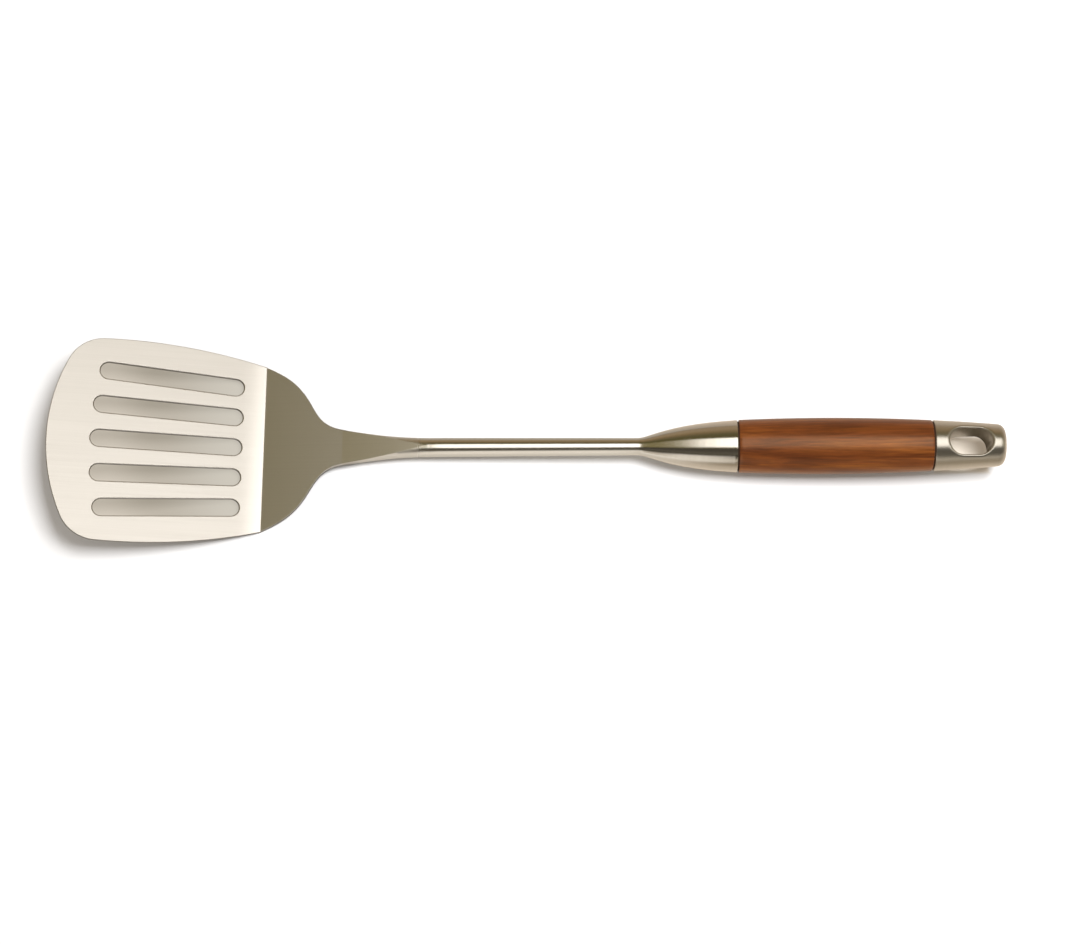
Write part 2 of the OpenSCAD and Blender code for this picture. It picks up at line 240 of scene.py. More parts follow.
# Painted shade beside the blade, for reflections
mirrored = vector_maths(tree, "SCALE", mirrored,
                        change(tree, along_table, *blade_shade_run, blade_shade_share, 1.0))
# Painted shade in the hanging hole and a painted lit spot in it, for reflections
mirrored = mix_colours(tree, under_hole, mirrored, hole_painted_shade_mirrored)
mirrored = mix_colours(tree, patch_share(hole_lit_middle, hole_lit_half, hole_lit_soft), mirrored,
                       hole_lit)

# Painted shade under the blade, darker towards the crease, for the camera
painted_shade = mix_colours(tree, change(tree, along_table, *painted_shade_run), painted_shade_front, painted_shade_rear)
shown = mix_colours(tree, under_blade, table_colour, painted_shade)
# Painted shade in the hanging hole, for the camera
shown = mix_colours(tree, under_hole, shown, hole_painted_shade)
bounced = mix_colours(tree, ray["Is Glossy Ray"], table_bounce, mirrored)
paper = new_node(tree, "ShaderNodeBsdfDiffuse", {
    "Color": mix_colours(tree, ray["Is Camera Ray"], bounced, shown)})

# A glow of painted shade under the blade, for the camera only
shade_glow = mix_colours(tree, change(tree, along_table, *shade_glow_places[:2]), shade_glow_front, shade_glow_middle)
shade_glow = mix_colours(tree, change(tree, along_table, *shade_glow_places[1:]), shade_glow, shade_glow_rear)
shade_glow_mask = maths(tree, "MULTIPLY", ray["Is Camera Ray"], under_blade)
shade_glow = new_node(tree, "ShaderNodeEmission", {"Color": shade_glow})
paper = mix_shaders(tree, maths(tree, "MULTIPLY", shade_glow_mask, shade_glow_share), paper.outputs[0],
                    shade_glow.outputs[0])
far_out = change(tree, vector_maths(tree, "LENGTH", table_place), *table_fade)
white = new_node(tree, "ShaderNodeEmission", {"Color": surround_white})
surface = mix_shaders(tree, maths(tree, "MULTIPLY", ray["Is Camera Ray"], far_out), paper,
                      white.outputs[0])
tree.links.new(surface, output.inputs["Surface"])
table_top.data.materials.append(material)


# Lamps
# A large soft lamp overhead lights the tool and skips the table. A smaller one lights only
# the table, keeps it white up to the tool's own shadow, and gives that shadow its soft edge.
soft_lamp_low_corner = Vector((-0.245, -0.37, 1.1))
soft_lamp_high_corner = Vector((1.00, 0.47, 1.1))
soft_lamp_radiance = 2.1
table_lamp_place = Vector((0.35, 0.06, 1.1))
table_lamp_size = 0.42
table_lamp_power = 16.5

lamp_size = soft_lamp_high_corner - soft_lamp_low_corner
lamp_data = bpy.data.lights.new("soft_lamp", "AREA")
lamp_data.shape = "RECTANGLE"
lamp_data.size = lamp_size.x
lamp_data.size_y = lamp_size.y
lamp_data.energy = soft_lamp_radiance * math.pi * lamp_size.x * lamp_size.y
soft_lamp = bpy.data.objects.new("soft_lamp", lamp_data)
soft_lamp.location = (soft_lamp_low_corner + soft_lamp_high_corner) / 2
bpy.context.scene.collection.objects.link(soft_lamp)
all_but_table = bpy.data.collections.new("not_lit_by_soft_lamp")
all_but_table.objects.link(table_top)
all_but_table.collection_objects[0].light_linking.link_state = "EXCLUDE"
soft_lamp.light_linking.receiver_collection = all_but_table

lamp_data = bpy.data.lights.new("table_lamp", "AREA")
lamp_data.size = table_lamp_size
lamp_data.energy = table_lamp_power
table_lamp = bpy.data.objects.new("table_lamp", lamp_data)
table_lamp.location = table_lamp_place
table_lamp.rotation_euler = table_lamp_place.to_track_quat("Z", "Y").to_euler()
table_lamp.visible_glossy = False
bpy.context.scene.collection.objects.link(table_lamp)
table_alone = bpy.data.collections.new("lit_by_table_lamp")
table_alone.objects.link(table_top)
table_lamp.light_linking.receiver_collection = table_alone


# Side card
# A white card on the near side of the shaft, which only reflections show, as a studio uses
# to lighten the side of bright steel. It fades out at both ends and at its top.
card_place = -0.30
card_run = (-0.105, 0.065)
card_height = 0.22
card_soft = 0.03
card_soft_top = 0.08
card_glow = (1.12, 1.07, 0.98, 1)
card = stage_plane("side_card", [(x, card_place, z) for x, z in (
    (card_run[0], 0), (card_run[1], 0), (card_run[1], card_height), (card_run[0], card_height))])
card.visible_camera = card.visible_diffuse = card.visible_shadow = False
material, tree, output = new_material("white_card")
_, card_parts = object_place(tree)
start = change(tree, card_parts["X"], card_run[0], card_run[0] + card_soft)
end = change(tree, card_parts["X"], card_run[1], card_run[1] - card_soft)
top = change(tree, card_parts["Z"], card_height, card_height - card_soft_top)
clear = new_node(tree, "ShaderNodeBsdfTransparent")
glow = new_node(tree, "ShaderNodeEmission", {"Color": card_glow})
surface = mix_shaders(tree, maths(tree, "MULTIPLY", maths(tree, "MULTIPLY", start, end), top),
                      clear.outputs[0], glow.outputs[0])
tree.links.new(surface, output.inputs["Surface"])
card.data.materials.append(material)


# Room
# White to the camera, an even warm light on the tool, and for reflections a dim room in
# bands, by the angle of the direction from straight up towards the far side.
room_light = (0.62, 0.57, 0.505, 1)
room_white = (1, 1, 1, 1)
room_reach = 90
room_bands = ((-90, (0.55, 0.50, 0.41)), (-84, (0.68, 0.62, 0.51)), (-77, (0.58, 0.53, 0.43)),
              (-72, (0.30, 0.27, 0.21)), (-67, (0.12, 0.106, 0.08)), (-62, (0.05, 0.045, 0.03)),
              (-57, (0.055, 0.048, 0.033)), (-49, (0.13, 0.12, 0.09)), (-43, (0.10, 0.09, 0.07)),
              (-33, (0.062, 0.054, 0.04)), (-25, (0.07, 0.062, 0.045)),
              (-18, (0.22, 0.18, 0.055)), (20, (0.22, 0.18, 0.055)), (30, (0.10, 0.085, 0.02)),
              (45, (0.15, 0.125, 0.055)), (58, (0.28, 0.20, 0.10)), (72, (0.40, 0.30, 0.18)),
              (90, (0.40, 0.31, 0.21)))
world = bpy.data.worlds.new("studio_room")
bpy.context.scene.world = world
world.use_nodes = True
tree = world.node_tree
tree.nodes.clear()
direction = new_node(tree, "ShaderNodeTexCoord").outputs["Generated"]
parts = new_node(tree, "ShaderNodeSeparateXYZ", {0: direction}).outputs
share = change(tree, maths(tree, "ARCTAN2", parts["Y"], parts["Z"]), -math.radians(room_reach),
               math.radians(room_reach), how="LINEAR")
bands = colour_ramp(tree, share, [(0.5 + angle / (2 * room_reach), c) for angle, c in room_bands])
ray = new_node(tree, "ShaderNodeLightPath").outputs
mirror_ray = maths(tree, "MAXIMUM", ray["Is Glossy Ray"], ray["Is Transmission Ray"])
shown = mix_colours(tree, ray["Is Camera Ray"], mix_colours(tree, mirror_ray, room_light, bands),
                    room_white)
back = new_node(tree, "ShaderNodeBackground", {"Color": shown})
tree.links.new(back.outputs[0], tree.nodes.new("ShaderNodeOutputWorld").inputs["Surface"])


# Blade
# One stamped sheet of stainless steel with five slots in a slight fan. A sharp crease
# turns it up into the shoulder, which narrows to the weld. It is brushed lengthwise.
blade_l = 79.2 * MM
blade_w = 76.4 * MM
crease_w = 63.3 * MM
widest_at = 52 * MM
front_r = 70 * MM
corner_r = 14.5 * MM
sheet_t = 1.5 * MM
blade_tilt = math.radians(14.7)
slot_count = 5
slot_w = 6.3 * MM
slot_l = 55.1 * MM
slot_rear_gap = 8.4 * MM
slot_pitch_front = 12.9 * MM
slot_pitch_rear = 11.5 * MM
slot_arc_r = 150 * MM
shoulder_tilt = math.radians(6.6)
weld_at = 30 * MM
waist_w = 13.7 * MM
turn_at = 17.9 * MM
turn_w = 32.8 * MM
edge_angle_crease = math.radians(24)
edge_angle_turn = math.radians(60.5)
edge_angle_weld = math.radians(10.5)
edge_round = 0.2 * MM
slot_round = 0.45 * MM
shoulder_round = 0.1 * MM
shoulder_round_run = 4 * MM
edge_guard = 0.1 * MM
bend_soft = 2.2 * MM
bend_hard = 0.15 * MM
bend_soft_share = 0.3
block_rear = 6 * MM
block_front_gap = 4.5 * MM
crease_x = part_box("blade")[0][0] + blade_l * math.cos(blade_tilt)
crease_burnish = (crease_x - 9 * MM, crease_x + 2 * MM)
crease_roughness = 0.25

slot_long_steps = 40
slot_end_steps = 20
round_steps = 4
curve_steps = 200
front_columns = slot_count * slot_end_steps
side_share = 0.335
border_shares = np.array([0, 0.25, 0.47, 0.64, 0.77, 0.87, 0.94, 0.982])[:, None, None]
weld_distance = 0.002 * MM
fine_run = (-2 * MM, 12 * MM)
fine_steps = 2800
coarse_steps = 60
past_tip = 1.2


def arc(centre, radius, start, end, count):
    """Points on a circle: the centre plus the radius times cosine and sine of even angles."""
    angle = np.linspace(start, end, count)
    return np.stack([centre[0] + radius * np.cos(angle), centre[1] + radius * np.sin(angle)], -1)


def evenly(path, count, start=0.0, end=1.0):
    """Points at even shares of a path's length, from one share of it to another."""
    length = np.concatenate([[0], np.cumsum(np.linalg.norm(np.diff(path, axis=0), axis=1))])
    wanted = np.linspace(start, end, count) * length[-1]
    return np.stack([np.interp(wanted, length, path[:, k]) for k in range(2)], -1)


def left_normals(path):
    """Unit vectors square to a path, on its left: the tangent turned by a quarter turn."""
    tangent = np.gradient(path, axis=0)
    tangent /= np.linalg.norm(tangent, axis=1)[:, None]
    return np.stack([-tangent[:, 1], tangent[:, 0]], -1)


def cubic(p0, p1, p2, p3, count):
    """Points of a cubic curve: its four corners weighted by (1-t)^3, 3(1-t)^2 t, 3(1-t) t^2
    and t^3."""
    t = np.linspace(0, 1, count)[:, None]
    return (1 - t)**3 * p0 + 3 * (1 - t)**2 * t * p1 + 3 * (1 - t) * t**2 * p2 + t**3 * p3


def round_edge(thickness, top_in, top_down, low_in, low_up, guard):
    """Section of an edge, from the top inwards to the underside inwards. Above is a circle
    arc that is upright at the widest line and meets the top at the angle
    90 - 2 atan(width / depth), then come a straight wall and a quarter ellipse. Gives
    distance in from the edge and height above the underside, one row for each section."""
    sizes = np.broadcast_arrays(thickness, top_in, top_down, low_in, low_up, guard)
    t, ti, td, li, lu, g = [np.atleast_1d(v)[:, None] for v in sizes]
    share = np.linspace(0, 1, round_steps + 1)[None, :]
    cut = math.pi / 2 - 2 * np.arctan(ti / td)
    r = td / np.cos(cut)
    top = cut + (math.pi / 2 - cut) * share
    low = math.pi / 2 * share
    inward = np.hstack([ti + g, r * (1 - np.sin(top)), li * (1 - np.cos(low)), li + g])
    height = np.hstack([t, t - td + r * np.cos(top), lu * (1 - np.sin(low)), 0 * t])
    return inward, height


def closed_piece(name, patches, sharp_angle=math.radians(40)):
    """One closed mesh from grids of points: each grid gives quads between neighbouring rows
    and columns, points that lie together are welded, and the faces are turned outwards."""
    points = np.concatenate([patch.reshape(-1, 3) for patch in patches])
    quads, first = [], 0
    for patch in patches:
        rows, columns = patch.shape[:2]
        number = np.arange(rows * columns).reshape(rows, columns) + first
        quads.append(np.stack([number[:-1, :-1], number[1:, :-1], number[1:, 1:],
                               number[:-1, 1:]], -1).reshape(-1, 4))
        first += rows * columns
    mesh = bpy.data.meshes.new(name)
    mesh.from_pydata(points.tolist(), [], np.concatenate(quads).tolist())
    work = bmesh.new()
    work.from_mesh(mesh)
    bmesh.ops.remove_doubles(work, verts=work.verts, dist=weld_distance)
    bmesh.ops.recalc_face_normals(work, faces=work.faces)
    work.to_mesh(mesh)
    work.free()
    mesh.shade_smooth()
    mesh.set_sharp_from_angle(angle=sharp_angle)
    piece = bpy.data.objects.new(name, mesh)
    bpy.context.scene.collection.objects.link(piece)
    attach(piece, "root")
    return piece


def fold(flat, height):
    """Puts points of the flat sheet where they lie once it is creased. The slope at a
    distance u ahead of the crease is the shoulder's, plus a share of the whole bend that
    grows as 1 - soft exp(-u/soft length) ahead of the crease and dies out as
    (1 - soft) exp(u/hard length) behind it; place is the running sum of the slope."""
    run = np.concatenate([np.linspace(-weld_at, fine_run[0], coarse_steps, endpoint=False),
                          np.linspace(*fine_run, fine_steps, endpoint=False),
                          np.linspace(fine_run[1], past_tip * blade_l, coarse_steps)])
    ahead = 1 - bend_soft_share * np.exp(-np.maximum(run, 0) / bend_soft)
    behind = (1 - bend_soft_share) * np.exp(np.minimum(run, 0) / bend_hard)
    bend = np.where(run >= 0, ahead, behind)
    slope = -shoulder_tilt + (blade_tilt + shoulder_tilt) * bend
    step = np.diff(run)
    mid = (slope[1:] + slope[:-1]) / 2
    x = np.concatenate([[0], np.cumsum(-np.cos(mid) * step)])
    z = np.concatenate([[0], np.cumsum(np.sin(mid) * step)])
    x += crease_x + weld_at * math.cos(shoulder_tilt)
    z += weld_at * math.sin(shoulder_tilt)
    u, y = flat[..., 0], flat[..., 1]
    slope_u = np.interp(u, run, slope)
    return np.stack([np.interp(u, run, x) + height * np.sin(slope_u), y + 0 * height,
                     np.interp(u, run, z) + height * np.cos(slope_u)], -1)


# The rim, from the crease's far end round the front to its near end
side_sag = (blade_w - crease_w) / 2
side_r = (widest_at**2 + side_sag**2) / (2 * side_sag)
side_centre = np.array([widest_at, blade_w / 2 - side_r])
front_centre = np.array([blade_l - front_r, 0])
centre_line = front_centre - side_centre
centre_gap = np.linalg.norm(centre_line)
corner_along = (((side_r - corner_r)**2 - (front_r - corner_r)**2 + centre_gap**2)
                / (2 * centre_gap))
corner_across = math.sqrt((side_r - corner_r)**2 - corner_along**2)
corner_centre = (side_centre + corner_along * centre_line / centre_gap
                 - corner_across * np.array([-centre_line[1], centre_line[0]]) / centre_gap)
side_start = math.atan2(crease_w / 2 - side_centre[1], -side_centre[0])
side_end = math.atan2(*(corner_centre - side_centre)[::-1])
corner_end = math.atan2(*(corner_centre - front_centre)[::-1])
half_rim = np.concatenate([arc(side_centre, side_r, side_start, side_end, curve_steps),
                           arc(corner_centre, corner_r, side_end, corner_end, curve_steps)[1:],
                           arc(front_centre, front_r, corner_end, 0, curve_steps)[1:]])
rim = np.concatenate([half_rim, half_rim[-2::-1] * [1, -1]])
rim_points = np.concatenate([evenly(rim, slot_long_steps + 1, 0, side_share),
                             evenly(rim, front_columns + 1, side_share, 1 - side_share)[1:],
                             evenly(rim, slot_long_steps + 1, 1 - side_share, 1)[1:]])
rim_inward = -left_normals(rim_points)
rim_inward[0] = [0, -1]
rim_inward[-1] = [0, 1]

# The slots, each with the cell of sheet around it
edge_in, edge_height = (rows[0] for rows in round_edge(sheet_t, *[edge_round] * 4, edge_guard))
slot_in, slot_height = (rows[0] for rows in round_edge(sheet_t, *[slot_round] * 4, edge_guard))
slot_half = (slot_count - 1) // 2
cell_front = slot_rear_gap + slot_l + block_front_gap
patches = []


def arc_drop(i):
    """How far the front end of slot i stands back, on the circle that the front ends follow:
    the radius less the root of the radius squared less the distance aside squared."""
    return slot_arc_r - math.sqrt(slot_arc_r**2 - (i * slot_pitch_front)**2)


def cell_corner(i, front):
    """A corner of the cells between the slots, at half numbers of the slots' spacing."""
    if front:
        return np.array([cell_front - arc_drop(i), i * slot_pitch_front])
    return np.array([block_rear, i * slot_pitch_rear])


def straight(a, b, steps):
    """Points from one corner to another, without the last one."""
    return a + (b - a) * np.linspace(0, 1, steps, endpoint=False)[:, None]


for i in range(-slot_half, slot_half + 1):
    end_r = slot_w / 2
    rear = np.array([slot_rear_gap + end_r, i * slot_pitch_rear])
    front = np.array([slot_rear_gap + slot_l - end_r - arc_drop(i), i * slot_pitch_front])
    heading = math.atan2(front[1] - rear[1], front[0] - rear[0])
    square = end_r * np.array([-math.sin(heading), math.cos(heading)])
    front_end = arc(front, end_r, heading + math.pi / 2, heading - math.pi / 2, slot_end_steps + 1)
    rear_end = arc(rear, end_r, heading - math.pi / 2, heading - 3 * math.pi / 2,
                   slot_end_steps + 1)
    slot_edge = np.concatenate([straight(rear + square, front + square, slot_long_steps),
                                front_end[:-1],
                                straight(front - square, rear - square, slot_long_steps),
                                rear_end])
    out_front = (front_end[:-1] - front) / end_r
    out_rear = (rear_end - rear) / end_r
    outward = np.concatenate([np.repeat([square / end_r], slot_long_steps, 0), out_front,
                              np.repeat([-square / end_r], slot_long_steps, 0), out_rear])
    far_rear, far_front = cell_corner(i + 0.5, False), cell_corner(i + 0.5, True)
    near_front, near_rear = cell_corner(i - 0.5, True), cell_corner(i - 0.5, False)
    cell = np.concatenate([straight(far_rear, far_front, slot_long_steps),
                           straight(far_front, near_front, slot_end_steps),
                           straight(near_front, near_rear, slot_long_steps),
                           straight(near_rear, far_rear, slot_end_steps), [far_rear]])
    rows = slot_edge[None] + outward[None] * slot_in[:, None, None]
    flat = np.concatenate([cell[None], rows, cell[None]])
    height = np.concatenate([[sheet_t], slot_height, [0]])[:, None]
    patches.append(fold(flat, height + 0 * flat[..., 0]))

# The border between the cells and the rim, on three sides
corners = [cell_corner(k - slot_count / 2, True) for k in range(slot_count, -1, -1)]
block = np.concatenate(
    [straight(cell_corner(slot_count / 2, False), corners[0], slot_long_steps)]
    + [straight(corners[k], corners[k + 1], slot_end_steps) for k in range(slot_count)]
    + [straight(corners[-1], cell_corner(-slot_count / 2, False), slot_long_steps),
       [cell_corner(-slot_count / 2, False)]])
rim_rows = rim_points[None] + rim_inward[None] * edge_in[:, None, None]
border = block[None] + (rim_rows[:1] - block[None]) * border_shares
flat = np.concatenate([border, rim_rows, border[::-1]])
levels = np.concatenate([np.full(len(border_shares), sheet_t), edge_height,
                         np.zeros(len(border_shares))])[:, None]
patches.append(fold(flat, levels + 0 * flat[..., 0]))

# The strip from the cells to the crease, above and below
rear_line = np.concatenate(
    [straight(cell_corner(k - slot_count / 2, False), cell_corner(k + 1 - slot_count / 2, False),
              slot_end_steps) for k in range(slot_count)]
    + [[cell_corner(slot_count / 2, False)]])
crease_reach = crease_w / 2 - edge_in[0]
crease_line = np.stack([np.zeros(front_columns + 1),
                        np.linspace(-crease_reach, crease_reach, front_columns + 1)], -1)
strip_shares = np.append(border_shares, [[[1]]], 0)
strip = rear_line[None] + (crease_line - rear_line)[None] * strip_shares
patches += [fold(strip, sheet_t + 0 * strip[..., 0]), fold(strip, 0 * strip[..., 0])]

# The shoulder: a closed section for each place behind the crease
crease_pull = 0.55
turn_pull_front = 0.51
turn_pull_rear = 0.40
weld_pull = 0.35
neck_blend_at = 21 * MM
neck_flat_share = 0.93
neck_side_share = 0.6
neck_low_share = 0.45
crease_places = [0, 0.05, 0.12, 0.22, 0.4, 0.7]
shoulder_places = np.linspace(1.1, 30, 44)
crease_point = np.array([0, crease_w / 2])
turn_point = np.array([turn_at, turn_w / 2])
weld_point = np.array([weld_at, waist_w / 2])
crease_handle = crease_pull * turn_at * np.array([math.cos(edge_angle_crease),
                                                  -math.sin(edge_angle_crease)])
turn_handle = turn_at * np.array([math.cos(edge_angle_turn), -math.sin(edge_angle_turn)])
weld_handle = weld_pull * turn_at * np.array([math.cos(edge_angle_weld),
                                              -math.sin(edge_angle_weld)])
shoulder_edge = np.concatenate(
    [cubic(crease_point, crease_point + crease_handle, turn_point - turn_pull_front * turn_handle,
           turn_point, curve_steps)[:-1],
     cubic(turn_point, turn_point + turn_pull_rear * turn_handle, weld_point - weld_handle,
           weld_point, curve_steps)])


def smooth_share(value, low, high):
    """Goes from 0 at low to 1 at high, as 3 t^2 - 2 t^3."""
    t = np.clip((value - low) / (high - low), 0, 1)
    return t * t * (3 - 2 * t)


def section_loop(half_width, inward, height):
    """Closed loops, one row each: across the top, down one edge, back under, up the other."""
    reach_top = (half_width - inward[:, 0])[:, None]
    reach_low = (half_width - inward[:, -1])[:, None]
    across = np.linspace(1, -1, front_columns + 1)[None, :]
    top = np.stack([across * reach_top, height[:, :1] + 0 * across], -1)
    low = np.stack([-across * reach_low, height[:, -1:] + 0 * across], -1)
    near = np.stack([-(half_width[:, None] - inward), height], -1)
    far = near[:, ::-1] * [-1, 1]
    return np.concatenate([top, near[:, 1:-1], low, far[:, 1:-1], top[:, :1]], 1)


shoulder_u = np.concatenate([crease_places, shoulder_places]) * MM
half_width = np.interp(shoulder_u, shoulder_edge[:, 0], shoulder_edge[:, 1])
to_neck = smooth_share(shoulder_u, neck_blend_at, weld_at)


def towards(a, b):
    """Blends the shoulder's size a into the neck's size b on the way to the weld."""
    return a + (b - a) * to_neck


rounding = edge_round + (shoulder_round - edge_round) * smooth_share(shoulder_u, 0,
                                                                     shoulder_round_run)
inward, height = round_edge(
    sheet_t, towards(rounding, (1 - neck_flat_share) * half_width),
    towards(rounding, neck_side_share * sheet_t), towards(rounding, neck_low_share * half_width),
    towards(rounding, (1 - neck_side_share) * sheet_t), edge_guard)
loops = section_loop(half_width, inward, height)
flat = np.stack([-shoulder_u[:, None] + 0 * loops[..., 0], loops[..., 0]], -1)
shoulder = fold(flat, loops[..., 1])
weld_end = np.stack([shoulder[-1], np.broadcast_to(shoulder[-1].mean(0), shoulder[-1].shape)])
blade = closed_piece("blade_sheet", patches + [shoulder, weld_end])
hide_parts("blade")


# Effect that several steels share: fine lines left by the belt or the die, as a mask
# from 0 to 1 that changes quickly across the lines and slowly along them.
lines_group = bpy.data.node_groups.new("drawn_lines", "ShaderNodeTree")
for name, default in (("Along", 10.0), ("Across", 2500.0), ("Height", 400.0)):
    socket = lines_group.interface.new_socket(name, in_out="INPUT", socket_type="NodeSocketFloat")
    socket.default_value = default
lines_group.interface.new_socket("Mask", in_out="OUTPUT", socket_type="NodeSocketFloat")
inside = new_node(lines_group, "NodeGroupInput")
spread = new_node(lines_group, "ShaderNodeCombineXYZ", {
    0: inside.outputs["Along"], 1: inside.outputs["Across"], 2: inside.outputs["Height"]})
stretched = vector_maths(lines_group, "MULTIPLY", object_place(lines_group)[0], spread.outputs[0])
noise = new_node(lines_group, "ShaderNodeTexNoise",
                 {"Vector": stretched, "Scale": 1.0, "Detail": 3.0, "Roughness": 0.6})
result = new_node(lines_group, "NodeGroupOutput")
lines_group.links.new(noise.outputs[0], result.inputs["Mask"])


def steel(name, colour, worn_colour, roughness, rough_spread, bump, lines, stretch,
          stretch_along, polished=None):
    """Bare steel: the mask of lines mixes two colours, spreads the roughness and lifts a bump,
    and its reflections are stretched along one direction, square to the lines. Polished gives
    two places along the tool between which the roughness changes, the place up to which
    the new roughness holds, and that roughness."""
    material, tree, output = new_material(name)
    mask = new_node(tree, "ShaderNodeGroup", lines, node_tree=lines_group).outputs[0]
    rough = change(tree, mask, 0, 1, roughness - rough_spread, roughness + rough_spread, "LINEAR")
    if polished:
        start, end, until, polished_roughness = polished
        along = object_place(tree)[1]["X"]
        share = maths(tree, "MULTIPLY", change(tree, along, start, end),
                      maths(tree, "LESS_THAN", along, until))
        rough = new_node(tree, "ShaderNodeMix", {"Factor": share, 2: rough,
                                                 3: polished_roughness}).outputs[0]
    lift = new_node(tree, "ShaderNodeBump", {"Height": mask, "Distance": bump, "Strength": 1.0})
    tangent = new_node(tree, "ShaderNodeCombineXYZ", dict(enumerate(stretch_along)))
    shader = new_node(tree, "ShaderNodeBsdfPrincipled", {
        "Base Color": mix_colours(tree, mask, (*colour, 1), (*worn_colour, 1)),
        "Metallic": 1.0, "Roughness": rough, "Normal": lift.outputs[0], "Anisotropic": stretch,
        "Tangent": tangent.outputs[0]})
    tree.links.new(shader.outputs[0], output.inputs["Surface"])
    return material


blade.data.materials.append(steel(
    "brushed_blade_steel", colour=(0.69, 0.655, 0.625), worn_colour=(0.637, 0.605, 0.577),
    roughness=0.40, rough_spread=0.05, bump=0.003 * MM,
    lines={"Along": 14.0, "Across": 2600.0, "Height": 60.0}, stretch=0.60,
    stretch_along=(0, 1, 0), polished=(*crease_burnish, crease_x, crease_roughness)))


# Shaft
# A forged bar of the same steel. Its front is the neck, with a flat top that narrows to
# a point; behind it the bar is round and tapers to the ferrule. The weld is ground flush.
neck_end = 62 * MM
shaft_front_d = 7.2 * MM
shaft_rear_d = 6.5 * MM
shaft_l = 78 * MM
ferrule_l = 36 * MM
spacer_t = 0.6 * MM
grip_l = 70.4 * MM
belly_d = 20.7 * MM
belly_at = 31 * MM
barrel_r = 780 * MM
cap_l = 26 * MM
neck_power = 1.9
neck_deep_power = 0.6
neck_flat_run = 3.2
neck_flat_end = 1.5
spigot_r = 2.7 * MM
spigot_l = 32 * MM
forged_run = 7 * MM
neck_low_run = 0.55
neck_steps = 49
neck_step_power = 1.4
bend_steps = 15
bar_steps = 5
bright_drawn = (-44.5 * MM, -35.5 * MM)
bar_roughness = 0.18
past_tail = 1

neck_r = shaft_front_d / 2
grip_at = shaft_l + ferrule_l + spacer_t
cap_at = grip_at + grip_l + spacer_t
neck_top = np.array([neck_end * math.cos(shoulder_tilt) - sheet_t * math.sin(shoulder_tilt),
                     neck_end * math.sin(shoulder_tilt) + sheet_t * math.cos(shoulder_tilt)])
curve_centre = (grip_at + belly_at, barrel_r - belly_d / 2 - neck_r)
arm_tilt = (math.atan2(*curve_centre)
            - math.acos((barrel_r - neck_top[1]) / math.hypot(*curve_centre)))
arm_start = np.array([crease_x + neck_top[0] + neck_r * math.sin(arm_tilt),
                      neck_top[1] - neck_r * math.cos(arm_tilt)])


def on_arm(along, across, up):
    """A point of the arm: its start, plus the distance along the sloping axis, plus the
    distances across it and square to it upwards."""
    along, across, up = np.broadcast_arrays(along, across, up)
    return np.stack([arm_start[0] + along * math.cos(arm_tilt) - up * math.sin(arm_tilt), across,
                     arm_start[1] + along * math.sin(arm_tilt) + up * math.cos(arm_tilt)], -1)


def neck_rings(t):
    """Sections of the neck at shares t of its length: the half-width falls with a power of
    1 - t, the flat top narrows as a power of 1 minus a power of t, the depth grows with a
    power of t, and the sides and the underside grow to a circle."""
    half = neck_r + (waist_w / 2 - neck_r) * (1 - t)**neck_power
    flat_top = half * neck_flat_share * (1 - t**neck_flat_run)**neck_flat_end
    grown = t**neck_deep_power
    side = neck_side_share * sheet_t * (1 - grown) + neck_r * grown
    deep = sheet_t * (1 - grown) + 2 * neck_r * grown
    low_share = neck_low_share + (1 - neck_low_share) * smooth_share(t, 0, neck_low_run)
    guard = edge_guard * (1 - t)
    low_in = np.minimum(low_share * half, half - guard)
    top_in = np.minimum(half - flat_top, half - guard)
    inward, height = round_edge(deep, top_in, side, low_in, deep - side, guard)
    loops = section_loop(half, inward, height - deep[:, None])
    turn = shoulder_tilt + (arm_tilt - shoulder_tilt) * t
    along = weld_at + (neck_end - weld_at) * t
    top = np.stack([along * math.cos(shoulder_tilt) - sheet_t * math.sin(shoulder_tilt),
                    along * math.sin(shoulder_tilt) + sheet_t * math.cos(shoulder_tilt)], -1)
    up = loops[..., 1]
    return np.stack([crease_x + top[:, :1] - up * np.sin(turn)[:, None], loops[..., 0],
                     top[:, 1:] + up * np.cos(turn)[:, None]], -1)


def forged_bend(points):
    """Rounds the bend between the neck and the bar: lowers the points at a distance s from
    the bend by angle (run - |s|)^2 / (4 run), so that the slope changes evenly over it."""
    reach = np.maximum(forged_run - np.abs(points[..., 0] - arm_start[0]), 0)
    drop = (shoulder_tilt - arm_tilt) * reach**2 / (4 * forged_run)
    return points - drop[..., None] * [0, 0, 1]


neck = neck_rings(1 - (1 - np.linspace(0, 1, neck_steps))**neck_step_power)
tip = neck[-1]
around = np.arctan2(tip[:, 1], (tip[:, 2] - arm_start[1]) / math.cos(arm_tilt))
bar_along = np.concatenate([np.linspace(0, forged_run, bend_steps),
                            np.linspace(forged_run, shaft_l, bar_steps)[1:]])
bar_r = neck_r + (shaft_rear_d / 2 - neck_r) * bar_along / shaft_l
bar_along = np.concatenate([bar_along, [shaft_l, shaft_l + spigot_l, shaft_l + spigot_l]])
bar_r = np.concatenate([bar_r, [spigot_r, spigot_r, 0]])[:, None]
bar = on_arm(bar_along[:, None], bar_r * np.sin(around), bar_r * np.cos(around))
bar[0] = tip
neck_face = np.stack([np.broadcast_to(neck[0].mean(0), neck[0].shape), neck[0]])
shaft = closed_piece("forged_shaft", [neck_face, forged_bend(neck), forged_bend(bar)])
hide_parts("shaft")
